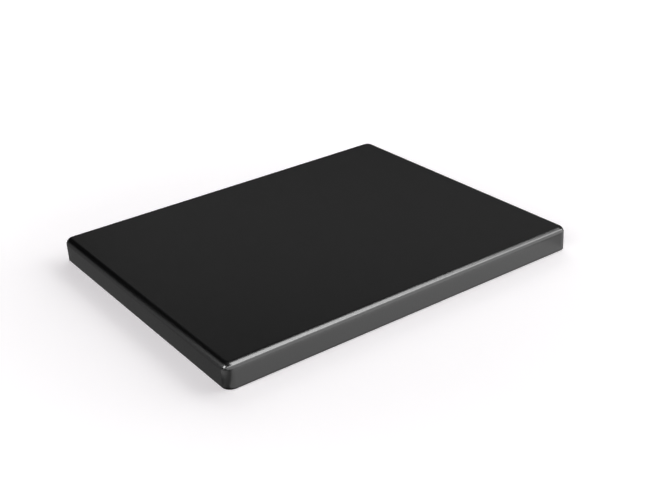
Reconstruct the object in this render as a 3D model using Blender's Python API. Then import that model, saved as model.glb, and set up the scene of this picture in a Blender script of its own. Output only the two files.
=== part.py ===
"""Plastic cutting board: one solid slab that stands on four push-in rubber feet.

Metres, +Z up. The origin lies on the worktop, under the middle of the board. +X runs along the
long side and -Y points to the front long side. The feet stand on z = 0.
"""
import math

import bmesh
import bpy

# Board
BOARD_LENGTH = 0.325
BOARD_WIDTH = 0.265
BOARD_THICKNESS = 0.020
CORNER_RADIUS = 0.0075
TOP_EDGE_RADIUS = 0.0055
BOTTOM_EDGE_BREAK = 0.0006

# Foot: a round pad with a barbed stem
FOOT_INSET = 0.028
FOOT_PROUD = 0.0004
PAD_DIAMETER = 0.018
PAD_THICKNESS = 0.003
PAD_EDGE_RADIUS = 0.0006
GRIP_GROOVES = 2
GROOVE_WIDTH = 0.0012
GROOVE_DEPTH = 0.0006
STEM_DIAMETER = 0.008
BARBS = 2
BARB_REACH = 0.0005
BARB_HEIGHT = 0.0018
BARB_GAP = 0.0012
STEM_LENGTH = BARBS * (BARB_HEIGHT + BARB_GAP)

# Fit of a foot in its socket
FIT_CLEARANCE = 0.0003
SOCKET_END_SPACE = 0.0007

# Facets
CORNER_STEPS = 10
EDGE_STEPS = 10
PAD_EDGE_STEPS = 3
TURN_STEPS = 32
SHARP_ANGLE = math.radians(40.0)
MERGE_DISTANCE = 1e-7

# Overrun of a cutter past the face that it opens
CUT_OVERRUN = 0.002


def clear_scene():
    """Remove every object, so that the model starts from nothing."""
    for item in list(bpy.data.objects):
        bpy.data.objects.remove(item, do_unlink=True)


def plastic(name, colour, roughness):
    """Principled material of a plain non-metal."""
    material = bpy.data.materials.new(name)
    material.use_nodes = True
    shader = material.node_tree.nodes["Principled BSDF"]
    shader.inputs["Base Color"].default_value = (*colour, 1.0)
    shader.inputs["Roughness"].default_value = roughness
    shader.inputs["Metallic"].default_value = 0.0
    return material


def add_object(name, mesh, parent=None, location=(0.0, 0.0, 0.0)):
    """Link a mesh to the scene as a named object."""
    item = bpy.data.objects.new(name, mesh)
    bpy.context.collection.objects.link(item)
    item.parent = parent
    item.location = location
    return item


def finish_mesh(bm, name):
    """Merge doubles, turn the faces outwards and shade the round parts smooth."""
    bmesh.ops.remove_doubles(bm, verts=bm.verts, dist=MERGE_DISTANCE)
    bmesh.ops.recalc_face_normals(bm, faces=bm.faces)
    mesh = bpy.data.meshes.new(name)
    bm.to_mesh(mesh)
    bm.free()
    mesh.shade_smooth()
    mesh.set_sharp_from_angle(angle=SHARP_ANGLE)
    return mesh


def arc(centre, radius, start, end, steps):
    """Points of an arc in a plane, both ends included."""
    points = []
    for step in range(steps + 1):
        angle = start + (end - start) * step / steps
        points.append((centre[0] + radius * math.cos(angle), centre[1] + radius * math.sin(angle)))
    return points


def board_outline(inset):
    """Rounded rectangle of the board, drawn in by an inset, as plan points."""
    radius = max(CORNER_RADIUS - inset, 0.0)
    half_length = BOARD_LENGTH / 2 - inset - radius
    half_width = BOARD_WIDTH / 2 - inset - radius
    corners = ((1, 1), (-1, 1), (-1, -1), (1, -1))
    points = []
    for turn, (side_x, side_y) in enumerate(corners):
        start = turn * math.pi / 2
        centre = (side_x * half_length, side_y * half_width)
        points += arc(centre, radius, start, start + math.pi / 2, CORNER_STEPS)
    return points


def board_levels():
    """Inset and height of each outline of the board, from its underside to its work face."""
    levels = [(BOTTOM_EDGE_BREAK, 0.0), (0.0, BOTTOM_EDGE_BREAK)]
    centre = (TOP_EDGE_RADIUS, BOARD_THICKNESS - TOP_EDGE_RADIUS)
    levels += arc(centre, TOP_EDGE_RADIUS, math.pi, math.pi / 2, EDGE_STEPS)
    return levels


def board_mesh():
    """Solid slab with round corners, a round top edge and a broken lower edge."""
    bm = bmesh.new()
    loops = []
    for inset, height in board_levels():
        loops.append([bm.verts.new((x, y, height)) for x, y in board_outline(inset)])
    for lower, upper in zip(loops, loops[1:]):
        for index in range(len(lower)):
            after = (index + 1) % len(lower)
            bm.faces.new((lower[index], lower[after], upper[after], upper[index]))
    bm.faces.new(loops[0])
    bm.faces.new(loops[-1])
    return finish_mesh(bm, "board")


def turned_mesh(name, profile):
    """Solid of revolution about Z, from (radius, height) points that start and end on the axis."""
    bm = bmesh.new()
    verts = [bm.verts.new((radius, 0.0, height)) for radius, height in profile]
    edges = [bm.edges.new(pair) for pair in zip(verts, verts[1:])]
    bmesh.ops.spin(bm, geom=verts + edges, cent=(0, 0, 0), axis=(0, 0, 1), angle=math.tau, steps=TURN_STEPS)
    return finish_mesh(bm, name)


def stem_profile():
    """Stem from its tip down to the pad: cone-shaped barbs that hold in the socket."""
    stem_radius = STEM_DIAMETER / 2
    top = PAD_THICKNESS + STEM_LENGTH
    points = [(0.0, top), (stem_radius, top)]
    for _ in range(BARBS):
        points.append((stem_radius + BARB_REACH, top - BARB_HEIGHT))
        points.append((stem_radius, top - BARB_HEIGHT))
        top -= BARB_HEIGHT + BARB_GAP
        points.append((stem_radius, top))
    return points


def pad_profile():
    """Pad from its upper rim to the axis: round lower rim and ring grooves in the sole."""
    pad_radius = PAD_DIAMETER / 2
    centre = (pad_radius - PAD_EDGE_RADIUS, PAD_EDGE_RADIUS)
    points = [(pad_radius, PAD_THICKNESS)]
    points += arc(centre, PAD_EDGE_RADIUS, 0.0, -math.pi / 2, PAD_EDGE_STEPS)
    pitch = pad_radius / (GRIP_GROOVES + 1)
    for groove in range(GRIP_GROOVES, 0, -1):
        middle = groove * pitch
        points.append((middle + GROOVE_WIDTH / 2, 0.0))
        points.append((middle + GROOVE_WIDTH / 4, GROOVE_DEPTH))
        points.append((middle - GROOVE_WIDTH / 4, GROOVE_DEPTH))
        points.append((middle - GROOVE_WIDTH / 2, 0.0))
    points.append((0.0, 0.0))
    return points


def socket_profile():
    """Space that a foot needs in the board: a bore for the stem and a recess for the pad."""
    bore_radius = STEM_DIAMETER / 2 + BARB_REACH + FIT_CLEARANCE
    recess_radius = PAD_DIAMETER / 2 + FIT_CLEARANCE
    bore_end = PAD_THICKNESS + STEM_LENGTH + SOCKET_END_SPACE
    recess_end = PAD_THICKNESS + FIT_CLEARANCE
    mouth = FOOT_PROUD - CUT_OVERRUN
    return [
        (0.0, bore_end),
        (bore_radius, bore_end),
        (bore_radius, recess_end),
        (recess_radius, recess_end),
        (recess_radius, mouth),
        (0.0, mouth),
    ]


def foot_places():
    """Name and plan position of each foot, one near each corner of the board."""
    reach_x = BOARD_LENGTH / 2 - FOOT_INSET
    reach_y = BOARD_WIDTH / 2 - FOOT_INSET
    return {
        "foot_front_left": (-reach_x, -reach_y, 0.0),
        "foot_front_right": (reach_x, -reach_y, 0.0),
        "foot_back_left": (-reach_x, reach_y, 0.0),
        "foot_back_right": (reach_x, reach_y, 0.0),
    }


def cut_socket(board, name, mesh, parent, place):
    """Cut one foot socket in the underside of the board."""
    cutter = add_object(name, mesh, parent, place)
    cutter.hide_render = True
    cutter.display_type = "WIRE"
    cut = board.modifiers.new(name, "BOOLEAN")
    cut.operation = "DIFFERENCE"
    cut.solver = "EXACT"
    cut.object = cutter


def build():
    """Build the board, its sockets and its feet."""
    clear_scene()
    polyethylene = plastic("black_polyethylene", (0.012, 0.012, 0.0125), 0.38)
    rubber = plastic("black_rubber", (0.016, 0.016, 0.016), 0.7)
    stand = add_object("cutting_board", None)

    slab = board_mesh()
    slab.materials.append(polyethylene)
    board = add_object("board", slab, stand, (0.0, 0.0, FOOT_PROUD))

    sole = turned_mesh("foot", stem_profile() + pad_profile())
    sole.materials.append(rubber)
    socket = turned_mesh("socket", socket_profile())
    for name, place in foot_places().items():
        add_object(name, sole, stand, place)
        cut_socket(board, name.replace("foot", "socket"), socket, stand, place)


build()
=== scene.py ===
"""Dressed cutting board: fine shapes, finishes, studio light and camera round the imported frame.

Metres, +Z up, in the frame's own axes: +X along the long side, -Y to the front, worktop at z = 0.
"""
import logging
import math
from dataclasses import dataclass, field
from enum import Enum
from typing import Any, Sequence

import bpy
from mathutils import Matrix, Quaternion, Vector


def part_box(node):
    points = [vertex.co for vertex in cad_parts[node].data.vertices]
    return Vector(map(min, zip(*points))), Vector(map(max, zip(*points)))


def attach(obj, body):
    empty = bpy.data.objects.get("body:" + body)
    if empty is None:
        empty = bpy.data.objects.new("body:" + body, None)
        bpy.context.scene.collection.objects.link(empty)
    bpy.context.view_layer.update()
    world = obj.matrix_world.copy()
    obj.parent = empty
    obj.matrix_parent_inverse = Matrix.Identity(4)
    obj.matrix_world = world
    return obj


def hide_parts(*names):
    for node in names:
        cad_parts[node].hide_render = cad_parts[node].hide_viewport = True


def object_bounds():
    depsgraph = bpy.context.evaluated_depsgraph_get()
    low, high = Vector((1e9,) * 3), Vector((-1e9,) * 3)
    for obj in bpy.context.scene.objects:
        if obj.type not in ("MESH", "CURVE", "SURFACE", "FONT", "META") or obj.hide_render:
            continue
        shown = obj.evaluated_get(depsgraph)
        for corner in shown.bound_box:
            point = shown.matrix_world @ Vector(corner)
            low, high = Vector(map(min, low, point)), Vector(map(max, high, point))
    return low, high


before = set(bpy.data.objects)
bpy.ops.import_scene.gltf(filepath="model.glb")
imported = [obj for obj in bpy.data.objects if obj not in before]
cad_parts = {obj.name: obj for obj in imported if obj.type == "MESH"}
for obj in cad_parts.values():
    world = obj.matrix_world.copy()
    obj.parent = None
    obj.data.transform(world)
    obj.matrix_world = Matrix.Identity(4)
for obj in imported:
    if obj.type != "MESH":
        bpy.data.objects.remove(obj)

LOG = logging.getLogger("cutting_board")
CAD_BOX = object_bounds()
WELD_DISTANCE = 1e-6
SHARP_ANGLE = math.radians(35.0)
NORMAL_WEIGHT = 100

Point2 = tuple[float, float]
Point3 = tuple[float, float, float]
Colour = tuple[float, float, float]


class Corner(Enum):
    """The four corners of the board, by the node of the foot that stands there."""

    FRONT_LEFT = "foot_front_left"
    FRONT_RIGHT = "foot_front_right"
    BACK_LEFT = "foot_back_left"
    BACK_RIGHT = "foot_back_right"


class Slot(Enum):
    """Material slots of the record."""

    BOARD = "board_plastic"
    FOOT = "foot_rubber"


class Role(Enum):
    """What a lamp is there for."""

    SHADE = "lights surfaces and casts the shadow"
    GLOSS = "shows in glossy surfaces only"


class Graph:
    """A node tree with short calls to add nodes, set their sockets and link them."""

    def __init__(self, tree: bpy.types.NodeTree) -> None:
        """Wrap a tree.

        Args:
            tree: The node tree to fill.
        """
        self.tree = tree

    def add(self, kind: str, inputs: dict[Any, Any] | None = None, **settings: Any) -> bpy.types.Node:
        """Add a node.

        Args:
            kind: Blender's name of the node type.
            inputs: Values or output sockets for the node's inputs, by name or index.
            settings: Values for the node's own properties.

        Returns:
            The new node.
        """
        node = self.tree.nodes.new(kind)
        for name, value in settings.items():
            setattr(node, name, value)
        for key, value in (inputs or {}).items():
            self.feed(node.inputs[key], value)
        return node

    def group(self, tree: bpy.types.NodeTree, inputs: dict[str, Any]) -> bpy.types.Node:
        """Add a node group.

        Args:
            tree: The group's own tree.
            inputs: Values or output sockets for its inputs, by name.

        Returns:
            The new node.
        """
        family = "Shader" if isinstance(tree, bpy.types.ShaderNodeTree) else "Geometry"
        return self.add(family + "NodeGroup", inputs, node_tree=tree)

    def feed(self, socket: bpy.types.NodeSocket, value: Any) -> None:
        """Link a socket to an output, or set its plain value.

        Args:
            socket: The input socket.
            value: An output socket or a plain value.
        """
        if isinstance(value, bpy.types.NodeSocket):
            self.tree.links.new(value, socket)
        else:
            socket.default_value = value

    def math(self, operation: str, *values: Any, clamp: bool = False) -> bpy.types.NodeSocket:
        """Add a Math node and return its result.

        Args:
            operation: Blender's name of the operation.
            values: Plain numbers or output sockets.
            clamp: Whether the result is held between 0 and 1.

        Returns:
            The node's output socket.
        """
        inputs = dict(enumerate(values))
        return self.add("ShaderNodeMath", inputs, operation=operation, use_clamp=clamp).outputs[0]

    def blend(self, factor: Any, first: Any, second: Any) -> bpy.types.NodeSocket:
        """Blend two colours.

        Args:
            factor: 0 for the first colour and 1 for the second.
            first: A colour or an output socket.
            second: A colour or an output socket.

        Returns:
            The blended colour.
        """
        node = self.add("ShaderNodeMix", data_type="RGBA")
        sockets = {socket.identifier: socket for socket in (*node.inputs, *node.outputs)}
        self.feed(sockets["Factor_Float"], factor)
        self.feed(sockets["A_Color"], first)
        self.feed(sockets["B_Color"], second)
        return sockets["Result_Color"]

    def ramp(self, value: Any, low: float, high: float, course: str = "LINEAR") -> bpy.types.NodeSocket:
        """Turn a range of values into 0 to 1.

        Args:
            value: The value or an output socket.
            low: Value that gives 0.
            high: Value that gives 1.
            course: Blender's name of the course between them.

        Returns:
            The result, held between 0 and 1.
        """
        inputs = {"Value": value, "From Min": low, "From Max": high}
        return self.add("ShaderNodeMapRange", inputs, interpolation_type=course).outputs[0]

    def join(self, *pieces: bpy.types.NodeSocket) -> bpy.types.NodeSocket:
        """Join geometry.

        Args:
            pieces: Geometry sockets.

        Returns:
            The joined geometry.
        """
        node = self.add("GeometryNodeJoinGeometry")
        for piece in pieces:
            self.tree.links.new(piece, node.inputs[0])
        return node.outputs[0]

    def move(self, geometry: bpy.types.NodeSocket, height: Any) -> bpy.types.NodeSocket:
        """Move geometry up or down.

        Args:
            geometry: The geometry to move.
            height: How far it goes up.

        Returns:
            The moved geometry.
        """
        offset = self.add("ShaderNodeCombineXYZ", {"Z": height}).outputs[0]
        return self.add("GeometryNodeTransform", {"Geometry": geometry, "Translation": offset}).outputs[0]

    def sockets(self, side: str, sorts: dict[str, str]) -> None:
        """Give the tree named sockets.

        Args:
            side: INPUT or OUTPUT.
            sorts: Sort of each socket, by its name.
        """
        for name, sort in sorts.items():
            self.tree.interface.new_socket(name, in_out=side, socket_type="NodeSocket" + sort)

    def finish_shape(self, geometry: bpy.types.NodeSocket, finish: bpy.types.NodeSocket) -> None:
        """Weld, shade, realize and dress a shape, and put it out.

        Args:
            geometry: The shape's mesh.
            finish: Its material.
        """
        weld = {"Geometry": geometry, "Distance": WELD_DISTANCE}
        welded = self.add("GeometryNodeMergeByDistance", weld)
        shade = {"Geometry": welded.outputs[0], "Shade Smooth": True}
        smooth = self.add("GeometryNodeSetShadeSmooth", shade)
        angle = self.add("GeometryNodeInputMeshEdgeAngle").outputs[0]
        is_sharp = self.math("GREATER_THAN", angle, SHARP_ANGLE)
        crease = {"Geometry": smooth.outputs[0], "Selection": is_sharp, "Shade Smooth": False}
        creased = self.add("GeometryNodeSetShadeSmooth", crease, domain="EDGE")
        real = self.add("GeometryNodeRealizeInstances", {"Geometry": creased.outputs[0]})
        dressed = self.add("GeometryNodeSetMaterial", {"Geometry": real.outputs[0], "Material": finish})
        self.add("NodeGroupOutput", {0: dressed.outputs[0]})


def new_object(name: str, mesh: bpy.types.Mesh) -> bpy.types.Object:
    """Link a mesh to the scene as an object at the origin.

    Args:
        name: The object's name.
        mesh: Its mesh.

    Returns:
        The object.
    """
    item = bpy.data.objects.new(name, mesh)
    bpy.context.scene.collection.objects.link(item)
    return item


def polyline(name: str, points: Sequence[Point2]) -> bpy.types.Object:
    """Make a profile line in the XY plane, for a tree to sweep.

    Args:
        name: The object's name.
        points: Points of the line.

    Returns:
        An object with one run of edges.
    """
    mesh = bpy.data.meshes.new(name)
    edges = [(index, index + 1) for index in range(len(points) - 1)]
    mesh.from_pydata([(x, y, 0.0) for x, y in points], edges, [])
    return new_object(name, mesh)


def arc(centre: Point2, radius: float, start: float, end: float, steps: int) -> list[Point2]:
    """Points of an arc, both ends included.

    Args:
        centre: Middle of the arc.
        radius: Its radius.
        start: First angle, in degrees.
        end: Last angle, in degrees.
        steps: Number of equal steps.

    Returns:
        The points.
    """
    points = []
    for step in range(steps + 1):
        angle = math.radians(start + (end - start) * step / steps)
        points.append((centre[0] + radius * math.cos(angle), centre[1] + radius * math.sin(angle)))
    return points


def towards(azimuth: float, elevation: float) -> Vector:
    """Unit vector to a place on the dome.

    Args:
        azimuth: Angle from +X towards +Y, in degrees.
        elevation: Angle above the worktop, in degrees.

    Returns:
        The vector.
    """
    turn, rise = math.radians(azimuth), math.radians(elevation)
    return Vector((math.cos(turn) * math.cos(rise), math.sin(turn) * math.cos(rise), math.sin(rise)))


def hang(item: bpy.types.Object, aim: Point3, back: Vector, distance: float, spin: float) -> None:
    """Link an object that looks at a point, such as a lamp or a camera.

    Args:
        item: The object.
        aim: The point.
        back: Unit vector from the point to the object.
        distance: Distance from the point.
        spin: Turn about the line of sight, in degrees.
    """
    facing = (-back).to_track_quat("-Z", "Y")
    item.location = Vector(aim) + back * distance
    item.rotation_mode = "QUATERNION"
    item.rotation_quaternion = facing @ Quaternion((0.0, 0.0, 1.0), math.radians(spin))
    bpy.context.scene.collection.objects.link(item)


def bake_modifiers(item: bpy.types.Object) -> None:
    """Turn an object's evaluated shape into its plain mesh and drop its modifiers.

    Args:
        item: The object to settle.
    """
    graph = bpy.context.evaluated_depsgraph_get()
    mesh = bpy.data.meshes.new_from_object(item.evaluated_get(graph))
    mesh.name = item.name
    raw = item.data
    item.modifiers.clear()
    item.data = mesh
    bpy.data.meshes.remove(raw)


def grow(item: bpy.types.Object, tree: bpy.types.NodeTree, values: dict[str, Any]) -> None:
    """Run a Geometry Nodes tree on an object and keep the result as its plain mesh.

    Args:
        item: An object that holds the tree's base shape.
        tree: The tree.
        values: Value of each named input.
    """
    modifier = item.modifiers.new(tree.name, "NODES")
    modifier.node_group = tree
    for socket in tree.interface.items_tree:
        if socket.in_out == "INPUT" and socket.name in values:
            modifier[socket.identifier] = values[socket.name]
    even = item.modifiers.new("even_normals", "WEIGHTED_NORMAL")
    even.keep_sharp = True
    even.weight = NORMAL_WEIGHT
    bake_modifiers(item)
    item.data.materials.clear()
    item.data.materials.append(values["Finish"])


class SurfaceEffects:
    """Shader node groups that the board and its feet share."""

    FINE_DETAIL = 2.0
    BROAD_SCALE = 90.0
    BROAD_DETAIL = 3.0
    BROAD_SHARE = 0.5
    NOISE_MIDDLE = 0.5
    PATCH_DETAIL = 4.0
    PATCH_RANGE = (0.3, 0.7)

    def __init__(self) -> None:
        """Build the groups once."""
        self.grain = self.make_grain()
        self.mottle = self.make_mottle()

    def make_grain(self) -> bpy.types.NodeTree:
        """Build the fine grain: a height for bump and an uneven gloss.

        Returns:
            The node group.
        """
        group = bpy.data.node_groups.new("fine_grain", "ShaderNodeTree")
        graph = Graph(group)
        graph.sockets("INPUT", {"Stretch": "Vector", "Grain": "Float"})
        graph.sockets("INPUT", {"Roughness": "Float", "Unevenness": "Float"})
        graph.sockets("OUTPUT", {"Height": "Float", "Roughness": "Float"})
        given = graph.add("NodeGroupInput").outputs
        place = graph.add("ShaderNodeTexCoord").outputs["Object"]
        run = graph.add("ShaderNodeMapping", {"Vector": place, "Scale": given["Stretch"]}).outputs[0]
        small = {"Vector": run, "Scale": given["Grain"], "Detail": self.FINE_DETAIL}
        large = {"Vector": place, "Scale": self.BROAD_SCALE, "Detail": self.BROAD_DETAIL}
        fine = graph.add("ShaderNodeTexNoise", small).outputs[0]
        broad = graph.add("ShaderNodeTexNoise", large).outputs[0]
        fine_part = graph.math("MULTIPLY", fine, 1.0 - self.BROAD_SHARE)
        both = graph.math("MULTIPLY_ADD", broad, self.BROAD_SHARE, fine_part)
        centred = graph.math("SUBTRACT", both, self.NOISE_MIDDLE)
        swing = graph.math("MULTIPLY", centred, given["Unevenness"])
        rough = graph.math("ADD", given["Roughness"], swing, clamp=True)
        graph.add("NodeGroupOutput", {"Height": fine, "Roughness": rough})
        return group

    def make_mottle(self) -> bpy.types.NodeTree:
        """Build the mottle: two shades of one colour in soft patches.

        Returns:
            The node group.
        """
        group = bpy.data.node_groups.new("mottle", "ShaderNodeTree")
        graph = Graph(group)
        graph.sockets("INPUT", {"Shade A": "Color", "Shade B": "Color", "Patches": "Float"})
        graph.sockets("OUTPUT", {"Colour": "Color"})
        given = graph.add("NodeGroupInput").outputs
        place = graph.add("ShaderNodeTexCoord").outputs["Object"]
        patches = {"Vector": place, "Scale": given["Patches"], "Detail": self.PATCH_DETAIL}
        noise = graph.add("ShaderNodeTexNoise", patches).outputs[0]
        spread = graph.ramp(noise, *self.PATCH_RANGE)
        colour = graph.blend(spread, given["Shade A"], given["Shade B"])
        graph.add("NodeGroupOutput", {"Colour": colour})
        return group


@dataclass(frozen=True)
class Finish:
    """A moulded finish: two shades of one colour, a fine grain and an uneven gloss."""

    name: str
    shade_a: Colour
    shade_b: Colour
    patches: float
    roughness: float
    unevenness: float
    index: float
    grain: float
    stretch: Point3
    bump_height: float
    bump_strength: float

    def material(self, effects: SurfaceEffects) -> bpy.types.Material:
        """Build the material.

        Args:
            effects: The shared node groups.

        Returns:
            The material.
        """
        made = bpy.data.materials.new(self.name)
        made.use_nodes = True
        graph = Graph(made.node_tree)
        shader = made.node_tree.nodes["Principled BSDF"]
        tone = graph.group(
            effects.mottle,
            {"Shade A": (*self.shade_a, 1.0), "Shade B": (*self.shade_b, 1.0), "Patches": self.patches},
        )
        grain = graph.group(
            effects.grain,
            {
                "Stretch": self.stretch,
                "Grain": self.grain,
                "Roughness": self.roughness,
                "Unevenness": self.unevenness,
            },
        )
        relief = {"Strength": self.bump_strength, "Distance": self.bump_height}
        bump = graph.add("ShaderNodeBump", {"Height": grain.outputs["Height"], **relief})
        graph.feed(shader.inputs["Base Color"], tone.outputs["Colour"])
        graph.feed(shader.inputs["Roughness"], grain.outputs["Roughness"])
        graph.feed(shader.inputs["Normal"], bump.outputs[0])
        shader.inputs["IOR"].default_value = self.index
        return made


BOARD_PLASTIC = Finish(
    name="satin_polyethylene",
    shade_a=(0.0012, 0.0012, 0.0013),
    shade_b=(0.0022, 0.0022, 0.0023),
    patches=60.0,
    roughness=0.30,
    unevenness=0.06,
    index=1.45,
    grain=1800.0,
    stretch=(1.0, 1.0, 0.2),
    bump_height=0.00006,
    bump_strength=1.0,
)
FOOT_RUBBER = Finish(
    name="matt_rubber",
    shade_a=(0.010, 0.010, 0.010),
    shade_b=(0.018, 0.018, 0.018),
    patches=240.0,
    roughness=0.72,
    unevenness=0.16,
    index=1.5,
    grain=2600.0,
    stretch=(1.0, 1.0, 1.0),
    bump_height=0.00004,
    bump_strength=0.5,
)


def seen_share(graph: Graph, glossy_share: float) -> bpy.types.NodeSocket:
    """Share of a white background that a ray sees.

    Args:
        graph: The tree of the background's material.
        glossy_share: Share that glossy surfaces show.

    Returns:
        1 to the camera and through clear surfaces, that share in glossy ones and 0 to other rays.
    """
    path = graph.add("ShaderNodeLightPath").outputs
    whole = graph.math("MAXIMUM", path["Is Camera Ray"], path["Is Transmission Ray"])
    faint = graph.math("MULTIPLY", path["Is Glossy Ray"], glossy_share)
    return graph.math("MAXIMUM", whole, faint)


@dataclass(frozen=True)
class FloorWhite:
    """White paper floor with a painted glow: lifted a little and faintly pink where the shadow lies, and
    plain white farther off.

    Glossy surfaces show it as one even grey.
    """

    colour: Colour = (0.75, 0.75, 0.75)
    # Painted shade: the floor's glow is weakest and faintly pink near the board and grows to plain white
    # farther off, so the floor reads darker and pinker round the board.
    near_lift: Colour = (0.40, 0.38, 0.394)
    far_lift: Colour = (1.0, 1.0, 1.0)
    near: float = 0.19
    far: float = 0.7
    glossy_level: float = 0.285

    def material(self) -> bpy.types.Material:
        """Build the material: lifted to the camera and through clear surfaces, even in glossy ones.

        Returns:
            The material.
        """
        made = bpy.data.materials.new("floor_white")
        made.use_nodes = True
        graph = Graph(made.node_tree)
        shader = made.node_tree.nodes["Principled BSDF"]
        shader.inputs["Base Color"].default_value = (*self.colour, 1.0)
        shader.inputs["Roughness"].default_value = 1.0
        shader.inputs["Specular IOR Level"].default_value = 0.0
        place = graph.add("ShaderNodeTexCoord").outputs["Object"]
        away = graph.add("ShaderNodeVectorMath", {0: place}, operation="LENGTH").outputs["Value"]
        reach = graph.ramp(away, self.near, self.far, "SMOOTHSTEP")
        lift = graph.blend(reach, (*self.near_lift, 1.0), (*self.far_lift, 1.0))
        graph.feed(shader.inputs["Emission Color"], lift)
        graph.feed(shader.inputs["Emission Strength"], seen_share(graph, 0.0))
        even = graph.add("ShaderNodeEmission", {"Strength": self.glossy_level}).outputs[0]
        glossy = graph.add("ShaderNodeLightPath").outputs["Is Glossy Ray"]
        mixed = graph.add("ShaderNodeMixShader", {0: glossy, 1: shader.outputs[0], 2: even}).outputs[0]
        graph.feed(made.node_tree.nodes["Material Output"].inputs["Surface"], mixed)
        return made


@dataclass
class FootSizes:
    """Sizes of a foot and of its place in the board."""

    inset: float = 0.028
    proud: float = 0.0004
    pad_diameter: float = 0.018
    pad_thickness: float = 0.003
    pad_edge: float = 0.0006
    grooves: int = 2
    groove_width: float = 0.0012
    groove_depth: float = 0.0006
    stem_diameter: float = 0.008
    stem_length: float = 0.006
    stem_edge: float = 0.0004
    barbs: int = 2
    barb_reach: float = 0.0005
    barb_height: float = 0.0018
    barb_edge: float = 0.00015
    barb_edge_start: float = 15.0
    clearance: float = 0.0003
    end_space: float = 0.0007
    steps: int = 72
    edge_steps: int = 6


class TurnTree:
    """Geometry Nodes tree that turns a profile line about an upright axis."""

    RADIUS = 0.004

    def __init__(self) -> None:
        """Build the tree, which other trees place as a group."""
        self.tree = bpy.data.node_groups.new("turn_profile", "GeometryNodeTree")
        graph = Graph(self.tree)
        graph.sockets("INPUT", {"Profile": "Geometry", "Steps": "Int"})
        graph.sockets("OUTPUT", {"Shape": "Geometry"})
        given = graph.add("NodeGroupInput").outputs
        circle = graph.add(
            "GeometryNodeCurvePrimitiveCircle",
            {"Resolution": given["Steps"], "Radius": self.RADIUS},
        ).outputs[0]
        upright = graph.add("GeometryNodeSetCurveNormal", {"Curve": circle}, mode="Z_UP").outputs[0]
        line = graph.add("GeometryNodeMeshToCurve", {"Mesh": given["Profile"]}).outputs[0]
        swept = graph.add("GeometryNodeCurveToMesh", {"Curve": upright, "Profile Curve": line})
        graph.add("NodeGroupOutput", {0: swept.outputs[0]})

    def profile(self, name: str, points: Sequence[Point2]) -> bpy.types.Object:
        """Make the line that the tree turns.

        Args:
            name: The object's name.
            points: Radius and height of each point.

        Returns:
            An object with the line, in the tree's own axes.
        """
        return polyline(name, [(radius - self.RADIUS, -height) for radius, height in points])


@dataclass
class Foot:
    """A push-in rubber foot: a round grooved pad with a barbed stem."""

    corner: Corner
    sizes: FootSizes
    turn: TurnTree

    def stem(self) -> list[Point2]:
        """Draw the profile of the stem, from its tip down to the pad.

        Returns:
            Radius and height of each point.
        """
        size = self.sizes
        radius = size.stem_diameter / 2
        tip = size.pad_thickness + size.stem_length
        round_tip = (radius - size.stem_edge, tip - size.stem_edge)
        points = [(0.0, tip)] + arc(round_tip, size.stem_edge, 90.0, 0.0, size.edge_steps)
        pitch = size.stem_length / size.barbs
        for barb in range(size.barbs):
            foot = tip - barb * pitch - size.barb_height
            rim = (radius + size.barb_reach - size.barb_edge, foot + size.barb_edge)
            if barb:
                points.append((radius, tip - barb * pitch))
            points += arc(rim, size.barb_edge, size.barb_edge_start, -90.0, size.edge_steps)
            points.append((radius, foot))
        points.append((radius, size.pad_thickness))
        return points

    def pad(self) -> list[Point2]:
        """Draw the profile of the pad, from its upper rim to the middle of its sole.

        Returns:
            Radius and height of each point.
        """
        size = self.sizes
        radius = size.pad_diameter / 2
        upper = (radius - size.pad_edge / 2, size.pad_thickness - size.pad_edge / 2)
        lower = (radius - size.pad_edge, size.pad_edge)
        points = arc(upper, size.pad_edge / 2, 90.0, 0.0, size.edge_steps)
        points += arc(lower, size.pad_edge, 0.0, -90.0, size.edge_steps)
        pitch = radius / (size.grooves + 1)
        half = size.groove_width / 2
        for groove in range(size.grooves, 0, -1):
            middle = groove * pitch
            for step in range(2 * size.edge_steps + 1):
                across = 1.0 - step / size.edge_steps
                depth = size.groove_depth * (1.0 + math.cos(math.pi * across)) / 2
                points.append((middle + half * across, depth))
        points.append((0.0, 0.0))
        return points

    def tree(self) -> bpy.types.NodeTree:
        """Build the tree that turns the foot and stands it in its place.

        Returns:
            The tree.
        """
        tree = bpy.data.node_groups.new("turn_foot", "GeometryNodeTree")
        graph = Graph(tree)
        graph.sockets("INPUT", {"Profile": "Geometry", "Place": "Vector"})
        graph.sockets("INPUT", {"Steps": "Int", "Finish": "Material"})
        graph.sockets("OUTPUT", {"Foot": "Geometry"})
        given = graph.add("NodeGroupInput").outputs
        turned = graph.group(self.turn.tree, {"Profile": given["Profile"], "Steps": given["Steps"]})
        move = {"Geometry": turned.outputs[0], "Translation": given["Place"]}
        placed = graph.add("GeometryNodeTransform", move)
        graph.finish_shape(placed.outputs[0], given["Finish"])
        return tree

    def build(self, material: bpy.types.Material) -> bpy.types.Object:
        """Build the foot and let it stand for its node.

        Args:
            material: The rubber.

        Returns:
            The foot.
        """
        low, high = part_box(self.corner.value)
        middle = (low + high) / 2
        name = self.corner.value.replace("foot", "rubber_foot")
        item = self.turn.profile(name, self.stem() + self.pad())
        values = {"Place": (middle.x, middle.y, low.z), "Steps": self.sizes.steps, "Finish": material}
        grow(item, self.tree(), values)
        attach(item, "root")
        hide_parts(self.corner.value)
        return item


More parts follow.
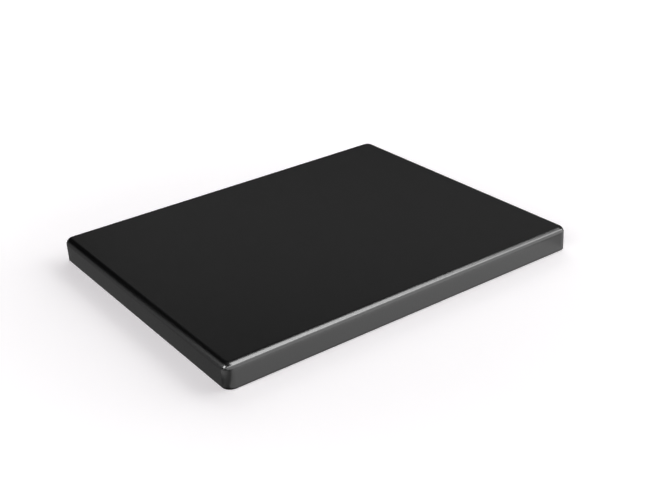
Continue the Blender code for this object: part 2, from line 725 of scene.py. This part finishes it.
@dataclass
class Slab:
    """The board itself: an edge profile swept round a rectangle with round corners, with foot sockets."""

    feet: FootSizes
    turn: TurnTree
    corner_radius: float = 0.0075
    top_radius: float = 0.0055
    bottom_radius: float = 0.0006
    corner_steps: int = 24
    top_steps: int = 20
    bottom_steps: int = 4

    def profile(self, thickness: float) -> list[Point2]:
        """Draw the edge profile, from the work face to the underside.

        Args:
            thickness: Thickness of the board.

        Returns:
            Outward reach of each point and its depth below the work face.
        """
        top = (-self.top_radius, self.top_radius)
        bottom = (-self.bottom_radius, thickness - self.bottom_radius)
        points = arc(top, self.top_radius, -90.0, 0.0, self.top_steps)
        return points + arc(bottom, self.bottom_radius, 0.0, 90.0, self.bottom_steps)

    def mouth_radius(self) -> float:
        """Radius of a socket at the underside."""
        return self.feet.pad_diameter / 2 + self.feet.clearance

    def socket(self) -> list[Point2]:
        """Draw the profile of a socket, from its mouth in the underside to the end of its bore.

        Returns:
            Radius of each point and its height above the underside.
        """
        size = self.feet
        bore = size.stem_diameter / 2 + size.barb_reach + size.clearance
        shoulder = size.pad_thickness + size.clearance - size.proud
        end = size.pad_thickness + size.stem_length + size.end_space - size.proud
        mouth = self.mouth_radius()
        return [(mouth, 0.0), (mouth, shoulder), (bore, shoulder), (bore, end), (0.0, end)]

    def tree(self) -> bpy.types.NodeTree:
        """Build the tree that sweeps the edge, closes both faces and sinks the sockets.

        Returns:
            The tree.
        """
        tree = bpy.data.node_groups.new("sweep_slab", "GeometryNodeTree")
        graph = Graph(tree)
        sizes = ("Length", "Width", "Thickness", "Top Height", "Corner Radius")
        sizes += ("Foot Spacing X", "Foot Spacing Y", "Mouth Radius")
        graph.sockets("INPUT", {"Profile": "Geometry", "Socket": "Object"})
        graph.sockets("INPUT", dict.fromkeys(sizes, "Float"))
        graph.sockets("INPUT", {"Corner Steps": "Int", "Turn Steps": "Int", "Finish": "Material"})
        graph.sockets("OUTPUT", {"Slab": "Geometry"})
        given = graph.add("NodeGroupInput").outputs
        edge = self.sweep_edge(graph, given)
        places = self.foot_places(graph, given)
        down = graph.math("MULTIPLY", given["Thickness"], -1.0)
        faces = self.close_faces(graph, given, edge, places, down)
        sockets = self.sink_sockets(graph, given, places, down)
        whole = graph.move(graph.join(sockets, *faces, edge), given["Top Height"])
        graph.finish_shape(whole, given["Finish"])
        return tree

    def sweep_edge(self, graph: Graph, given: Any) -> bpy.types.NodeSocket:
        """Sweep the edge profile round the outline.

        Args:
            graph: The tree.
            given: Outputs of the tree's input node.

        Returns:
            The wall, open above and below.
        """
        rectangle = graph.add(
            "GeometryNodeCurvePrimitiveQuadrilateral",
            {"Width": given["Length"], "Height": given["Width"]},
        ).outputs[0]
        corners = {"Curve": rectangle, "Count": given["Corner Steps"], "Radius": given["Corner Radius"]}
        outline = graph.add("GeometryNodeFilletCurve", corners, mode="POLY").outputs[0]
        upright = graph.add("GeometryNodeSetCurveNormal", {"Curve": outline}, mode="Z_UP").outputs[0]
        line = graph.add("GeometryNodeMeshToCurve", {"Mesh": given["Profile"]}).outputs[0]
        return graph.add("GeometryNodeCurveToMesh", {"Curve": upright, "Profile Curve": line}).outputs[0]

    def foot_places(self, graph: Graph, given: Any) -> bpy.types.NodeSocket:
        """Mark the four places of the feet.

        Args:
            graph: The tree.
            given: Outputs of the tree's input node.

        Returns:
            Four points in a rectangle.
        """
        spacing = {"Width": given["Foot Spacing X"], "Height": given["Foot Spacing Y"]}
        rectangle = graph.add("GeometryNodeCurvePrimitiveQuadrilateral", spacing).outputs[0]
        return graph.add("GeometryNodeCurveToPoints", {"Curve": rectangle}, mode="EVALUATED").outputs[0]

    def close_faces(
        self,
        graph: Graph,
        given: Any,
        edge: bpy.types.NodeSocket,
        places: bpy.types.NodeSocket,
        down: bpy.types.NodeSocket,
    ) -> tuple[bpy.types.NodeSocket, bpy.types.NodeSocket]:
        """Fill the work face, and the underside round the socket mouths.

        Args:
            graph: The tree.
            given: Outputs of the tree's input node.
            edge: The swept wall.
            places: Places of the feet.
            down: Height of the underside below the work face.

        Returns:
            The underside and the work face.
        """
        neighbours = graph.add("GeometryNodeInputMeshEdgeNeighbors").outputs[0]
        # Sockets 2 and 3 hold the two whole numbers: a rim edge belongs to one face.
        compare = {2: neighbours, 3: 1}
        is_rim = graph.add("FunctionNodeCompare", compare, data_type="INT", operation="EQUAL").outputs[0]
        rims = graph.add("GeometryNodeMeshToCurve", {"Mesh": edge, "Selection": is_rim}).outputs[0]
        position = graph.add("GeometryNodeInputPosition").outputs[0]
        height = graph.add("ShaderNodeSeparateXYZ", {0: position}).outputs["Z"]
        half_way = graph.math("DIVIDE", down, 2.0)
        is_top = graph.math("GREATER_THAN", height, half_way)
        split = {"Geometry": rims, "Selection": is_top}
        halves = graph.add("GeometryNodeSeparateGeometry", split, domain="CURVE").outputs
        top = graph.add("GeometryNodeFillCurve", {"Curve": halves[0]}, mode="NGONS").outputs[0]
        ring = {"Resolution": given["Turn Steps"], "Radius": given["Mouth Radius"]}
        mouth = graph.add("GeometryNodeCurvePrimitiveCircle", ring).outputs[0]
        holes = {"Points": places, "Instance": mouth}
        spots = graph.add("GeometryNodeInstanceOnPoints", holes).outputs[0]
        mouths = graph.add("GeometryNodeRealizeInstances", {"Geometry": spots}).outputs[0]
        rim = graph.join(halves[1], mouths)
        under = graph.add("GeometryNodeFillCurve", {"Curve": rim}, mode="TRIANGLES").outputs[0]
        under = graph.add("GeometryNodeFlipFaces", {"Mesh": graph.move(under, down)}).outputs[0]
        return under, top

    def sink_sockets(
        self,
        graph: Graph,
        given: Any,
        places: bpy.types.NodeSocket,
        down: bpy.types.NodeSocket,
    ) -> bpy.types.NodeSocket:
        """Turn the socket walls and set one at each foot.

        Args:
            graph: The tree.
            given: Outputs of the tree's input node.
            places: Places of the feet.
            down: Height of the underside below the work face.

        Returns:
            The walls of the four sockets.
        """
        line = graph.add("GeometryNodeObjectInfo", {"Object": given["Socket"]}).outputs["Geometry"]
        turned = graph.group(self.turn.tree, {"Profile": line, "Steps": given["Turn Steps"]})
        walls = {"Points": places, "Instance": turned.outputs[0]}
        copies = graph.add("GeometryNodeInstanceOnPoints", walls).outputs[0]
        real = graph.add("GeometryNodeRealizeInstances", {"Geometry": copies}).outputs[0]
        return graph.move(real, down)

    def build(self, material: bpy.types.Material) -> bpy.types.Object:
        """Build the board and let it stand for its node.

        Args:
            material: The plastic.

        Returns:
            The board.
        """
        low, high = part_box("board")
        size = high - low
        item = polyline("board_slab", self.profile(size.z))
        socket = self.turn.profile("socket_profile", self.socket())
        values = {
            "Socket": socket,
            "Length": size.x,
            "Width": size.y,
            "Thickness": size.z,
            "Top Height": high.z,
            "Corner Radius": self.corner_radius,
            "Foot Spacing X": size.x - 2 * self.feet.inset,
            "Foot Spacing Y": size.y - 2 * self.feet.inset,
            "Mouth Radius": self.mouth_radius(),
            "Corner Steps": self.corner_steps,
            "Turn Steps": self.feet.steps,
            "Finish": material,
        }
        grow(item, self.tree(), values)
        bpy.data.objects.remove(socket, do_unlink=True)
        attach(item, "root")
        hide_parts("board")
        return item


@dataclass(frozen=True)
class Lamp:
    """A flat soft lamp that faces a point."""

    name: str
    role: Role
    azimuth: float
    elevation: float
    distance: float
    wide: float
    tall: float
    level: float
    spin: float = 0.0
    aim: Point3 = (0.0, 0.0, 0.02)

    def build(self) -> bpy.types.Object:
        """Hang the lamp: a level of 1 is as bright as a white surface.

        Returns:
            The lamp.
        """
        data = bpy.data.lights.new(self.name, "AREA")
        data.shape = "RECTANGLE"
        data.size = self.wide
        data.size_y = self.tall
        data.energy = self.level * math.pi * self.wide * self.tall
        lamp = bpy.data.objects.new(self.name, data)
        hang(lamp, self.aim, towards(self.azimuth, self.elevation), self.distance, self.spin)
        lamp.visible_camera = False
        lamp.visible_diffuse = self.role is Role.SHADE
        lamp.visible_glossy = self.role is Role.GLOSS
        return lamp


FRONT = -90.0
FACE_UP = -90.0
BOX_ELEVATION = 30.0
BOX_DISTANCE = 1.6
BOX_SIZE = (1.6, 1.2)
CARD_HEIGHT = 0.001
EDGE_RADIUS = Slab.top_radius
EDGE_CENTRE = (0.0, CAD_BOX[0][1] + EDGE_RADIUS, CAD_BOX[1][2] - EDGE_RADIUS)
STRIP_GAP = 0.001
STRIP_LENGTH = 0.33
FRONT_EDGE = (0.0, -0.13, 0.018)
LEFT_EDGE = (-0.16, 0.0, 0.02)
LEFT_CORNER = (-0.1608, -0.1283, 0.0178)


def soft_box(name: str, azimuth: float, level: float) -> Lamp:
    """Hang a soft box, which lights the board and casts its shadow.

    Args:
        name: The box's name.
        azimuth: Angle from +X towards +Y, in degrees.
        level: Its brightness.

    Returns:
        The box.
    """
    return Lamp(name, Role.SHADE, azimuth, BOX_ELEVATION, BOX_DISTANCE, *BOX_SIZE, level)


def floor_card(name: str, low: Point2, high: Point2, level: float) -> Lamp:
    """Lay a reflection card on the floor, face up.

    Args:
        name: The card's name.
        low: Its left front corner.
        high: Its right back corner.
        level: Its brightness.

    Returns:
        The card.
    """
    middle = ((low[0] + high[0]) / 2, (low[1] + high[1]) / 2, CARD_HEIGHT)
    size = (high[0] - low[0], high[1] - low[1])
    return Lamp(name, Role.GLOSS, 0.0, FACE_UP, 0.0, *size, level, aim=middle)


def edge_strip(name: str, low: float, high: float, level: float) -> Lamp:
    """Hold a narrow card along the round front edge, below the height of the work face.

    Args:
        name: The card's name.
        low: Angle of its lower border round the edge, in degrees up from the front.
        high: Angle of its upper border.
        level: Its brightness.

    Returns:
        The card.
    """
    angle = (low + high) / 2
    outward = towards(FRONT, angle)
    aim = tuple(Vector(EDGE_CENTRE) + outward * EDGE_RADIUS)
    tall = (EDGE_RADIUS + STRIP_GAP) * math.radians(high - low)
    return Lamp(name, Role.GLOSS, FRONT, angle, STRIP_GAP, STRIP_LENGTH, tall, level, aim=aim)


LAMPS = (
    soft_box("left_box", 200.0, 2.7),
    soft_box("right_box", -20.0, 3.05),
    soft_box("back_box", 50.0, 2.6),
    Lamp(
        "key_card",
        Role.GLOSS,
        azimuth=-41.5,
        elevation=64.8,
        distance=2.2,
        wide=1.6,
        tall=1.29,
        level=17.6,
        spin=-45.7,
        aim=FRONT_EDGE,
    ),
    edge_strip("middle_card", 40.5, 47.5, 12.5),
    edge_strip("low_card", 12.5, 40.0, 3.6),
    Lamp(
        "left_card",
        Role.GLOSS,
        azimuth=182.0,
        elevation=32.0,
        distance=0.006,
        wide=0.0022,
        tall=0.0044,
        level=36.0,
        aim=LEFT_CORNER,
    ),
    Lamp(
        "near_card",
        Role.GLOSS,
        azimuth=161.6,
        elevation=27.2,
        distance=0.284,
        wide=0.22,
        tall=0.18,
        level=1.7,
        aim=LEFT_EDGE,
    ),
    Lamp(
        "rim_card",
        Role.GLOSS,
        azimuth=131.0,
        elevation=5.0,
        distance=1.6,
        wide=1.2,
        tall=0.28,
        level=0.4,
    ),
    Lamp(
        "back_card",
        Role.GLOSS,
        azimuth=50.0,
        elevation=29.0,
        distance=1.6,
        wide=1.62,
        tall=0.68,
        level=0.248,
    ),
    floor_card("back_floor_card", (-0.163, 0.1329), (0.163, 0.2625), 1.0),
    floor_card("side_floor_card", (0.163, -0.10), (0.2925, 0.13), 1.0),
    floor_card("front_card", (-0.163, -0.1625), (0.16, -0.1329), 1.68),
    floor_card("outer_card", (-0.163, -0.2625), (0.16, -0.1625), 3.2),
    floor_card("right_card", (0.16, -0.2025), (0.30, -0.1329), 1.25),
    floor_card("far_right_card", (0.16, -0.2625), (0.30, -0.2025), 3.6),
    floor_card("left_floor_card", (-0.265, -0.13), (-0.195, 0.14), 0.2),
    floor_card("far_left_card", (-0.9, -0.13), (-0.265, 0.3), 0.4),
    floor_card("corner_card", (-0.2025, -0.16), (-0.1775, -0.11), 1.5),
    floor_card("tip_card", (-0.1775, -0.1625), (-0.1635, -0.125), 0.35),
)


@dataclass
class Studio:
    """White floor, soft boxes, reflection cards and a white backdrop."""

    floor_size: float = 40.0
    glossy_share: float = 0.012
    floor: FloorWhite = field(default_factory=FloorWhite)
    lamps: tuple[Lamp, ...] = LAMPS

    def build(self) -> None:
        """Lay the floor, hang the lamps and set the world."""
        mesh = bpy.data.meshes.new("floor")
        half = self.floor_size / 2
        corners = [(-half, -half, 0.0), (half, -half, 0.0), (half, half, 0.0), (-half, half, 0.0)]
        mesh.from_pydata(corners, [], [(0, 1, 2, 3)])
        mesh.materials.append(self.floor.material())
        new_object("floor", mesh)
        for lamp in self.lamps:
            lamp.build()
        self.backdrop()

    def backdrop(self) -> None:
        """Make the world white to the camera and through clear surfaces, and faint in glossy ones."""
        world = bpy.data.worlds.new("backdrop")
        world.use_nodes = True
        graph = Graph(world.node_tree)
        light = world.node_tree.nodes["Background"]
        light.inputs["Color"].default_value = (1.0, 1.0, 1.0, 1.0)
        graph.feed(light.inputs["Strength"], seen_share(graph, self.glossy_share))
        bpy.context.scene.world = world


@dataclass
class PhotoCamera:
    """Camera at the photograph's viewing angle, with its azimuth counted from the front."""

    azimuth: float = -34.388
    elevation: float = 26.344
    distance: float = 0.9002
    roll: float = -3.352
    lens_mm: float = 59.805
    sensor_mm: float = 36.0
    aim: Point3 = (0.00585, -0.01794, 0.0104)

    def build(self) -> bpy.types.Object:
        """Place the camera and make it the scene's own.

        Returns:
            The camera.
        """
        data = bpy.data.cameras.new("photo_camera")
        data.lens = self.lens_mm
        data.sensor_width = self.sensor_mm
        camera = bpy.data.objects.new("photo_camera", data)
        back = towards(FRONT + self.azimuth, self.elevation)
        hang(camera, self.aim, back, self.distance, self.roll)
        bpy.context.scene.camera = camera
        return camera


def main() -> None:
    """Build the dressed board, the studio and the camera."""
    logging.basicConfig(level=logging.INFO, format="%(name)s: %(message)s")
    bpy.context.scene.view_settings.view_transform = "Standard"
    PhotoCamera().build()
    Studio().build()
    effects = SurfaceEffects()
    sizes = FootSizes()
    turn = TurnTree()
    pieces = [Slab(sizes, turn).build(BOARD_PLASTIC.material(effects))]
    rubber = FOOT_RUBBER.material(effects)
    pieces += [Foot(corner, sizes, turn).build(rubber) for corner in Corner]
    for piece in pieces:
        LOG.info("%s has %d faces", piece.name, len(piece.data.polygons))


if __name__ == "__main__":
    main()
